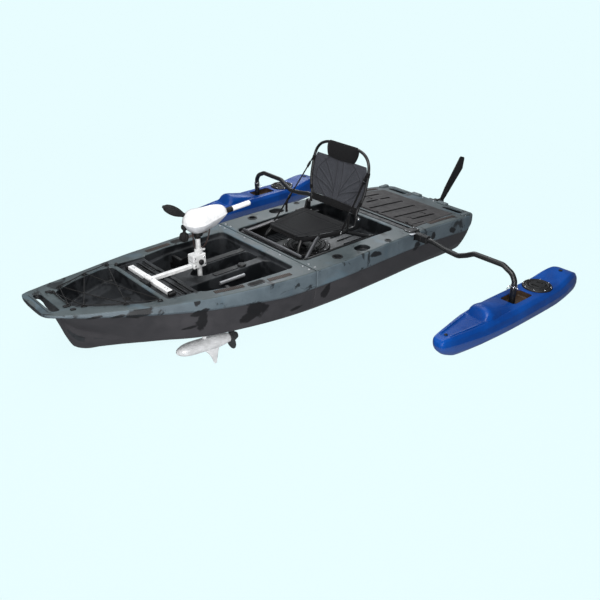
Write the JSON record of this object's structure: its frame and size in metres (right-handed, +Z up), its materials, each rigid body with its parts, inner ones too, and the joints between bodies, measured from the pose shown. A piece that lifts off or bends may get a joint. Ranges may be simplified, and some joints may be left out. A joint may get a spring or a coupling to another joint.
{
  "type": "fishing kayak",
  "caption": "Two-section sit-on-top fishing kayak with framed seat, drive-slot electric motor, raised rudder and outrigger floats on bent arms.",
  "frame": {"origin": "on the centreline, midway between bow tip and transom, at the waterline", "axes": "+X aft along the keel, +Y to starboard, +Z up"},
  "size_m": [3.3943, 2.668, 1.1885],
  "materials": {
    "hull_plastic": "grey rotomoulded shell with black blotches",
    "black_plastic": "satin black moulding",
    "black_tube": "satin black coated tube",
    "grey_tube": "dull grey tube",
    "deck_panel": "dark brown-black ribbed panel",
    "white_paint": "white gloss coat",
    "white_housing": "white gloss housing",
    "float_plastic": "saturated blue, semi-gloss",
    "seat_fabric": "dark grey mesh cloth",
    "black_fabric": "black padded cloth and webbing",
    "lead_sheath": "dark brown and black lead sheath"
  },
  "bodies": {
    "kayak": {"hull_bow": "hull_plastic", "hull_stern": "hull_plastic", "floor_hatch_ring": "black_plastic", "floor_hatch_lid": "black_plastic", "rear_panel": "deck_panel", "seat_rail_port": "black_plastic", "seat_rail_starboard": "black_plastic", "foot_brace_port": "black_plastic", "foot_brace_starboard": "black_plastic", "storage_tube": "grey_tube", "round_cap": "black_plastic", "frame_cross_bar": "white_paint", "frame_long_bar": "white_paint", "shaft_bracket": "white_paint", "seat_base": "black_tube", "seat_pan": "seat_fabric", "back_strap_port": "black_fabric", "back_strap_starboard": "black_fabric", "outrigger_crossbar": "black_tube", "clamp_plate_port": "black_tube", "clamp_plate_starboard": "black_tube", "rudder_bracket": "black_plastic"},
    "steering": {"steer_collar": "white_paint"},
    "motor": {"motor_shaft": "white_paint", "head_neck": "black_plastic", "motor_head": "white_housing", "tilt_knob": "black_plastic", "tiller_grip": "black_plastic", "bar_collar": "black_plastic", "rear_bar": "white_housing", "torpedo": "white_housing", "power_leads": "lead_sheath"},
    "propeller": {"propeller": "black_plastic"},
    "seat_back": {"back_frame": "black_tube", "back_panel": "seat_fabric", "lower_band": "black_fabric", "head_pad": "black_fabric"},
    "outrigger_port": {"arm_port": "black_tube", "float_leg_port": "black_tube", "float_port": "float_plastic", "float_hatch_port_ring": "black_plastic", "float_hatch_port_lid": "black_plastic"},
    "outrigger_starboard": {"arm_starboard": "black_tube", "float_leg_starboard": "black_tube", "float_starboard": "float_plastic", "float_hatch_starboard_ring": "black_plastic", "float_hatch_starboard_lid": "black_plastic"},
    "rudder_head": {"rudder_head": "black_plastic"},
    "rudder_blade": {"rudder_blade": "black_plastic"}
  },
  "joints": [
    {"name": "motor_steer", "type": "hinge", "parent": "kayak", "child": "steering", "pos_m": [-0.53, 0, 0.374], "axis": [0, 0, 1], "continuous": true},
    {"name": "motor_depth", "type": "slide", "parent": "steering", "child": "motor", "axis": [0, 0, 1], "range_m": [-0.05, 0.04], "deforming": ["power_leads"]},
    {"name": "propeller_spin", "type": "hinge", "parent": "motor", "child": "propeller", "pos_m": [-0.3668, -0.0241, -0.265], "axis": [0.9893, -0.1461, 0], "continuous": true},
    {"name": "seat_fold", "type": "hinge", "parent": "kayak", "child": "seat_back", "pos_m": [0.52, 0, 0.35], "axis": [0, -1, 0], "range_deg": [0, 95], "deforming": ["back_strap_port", "back_strap_starboard"]},
    {"name": "outrigger_port_turn", "type": "hinge", "parent": "kayak", "child": "outrigger_port", "pos_m": [0.835, -0.56, 0.2228], "axis": [0, 1, 0], "range_deg": [-30, 90]},
    {"name": "outrigger_starboard_turn", "type": "hinge", "parent": "kayak", "child": "outrigger_starboard", "pos_m": [0.835, 0.56, 0.2228], "axis": [0, 1, 0], "range_deg": [-30, 90]},
    {"name": "rudder_steer", "type": "hinge", "parent": "kayak", "child": "rudder_head", "pos_m": [1.575, 0, 0.14], "axis": [0, 0, 1], "range_deg": [-45, 45]},
    {"name": "rudder_lift", "type": "hinge", "parent": "rudder_head", "child": "rudder_blade", "pos_m": [1.635, 0, 0.14], "axis": [0, 1, 0], "range_deg": [0, 125]}
  ]
}
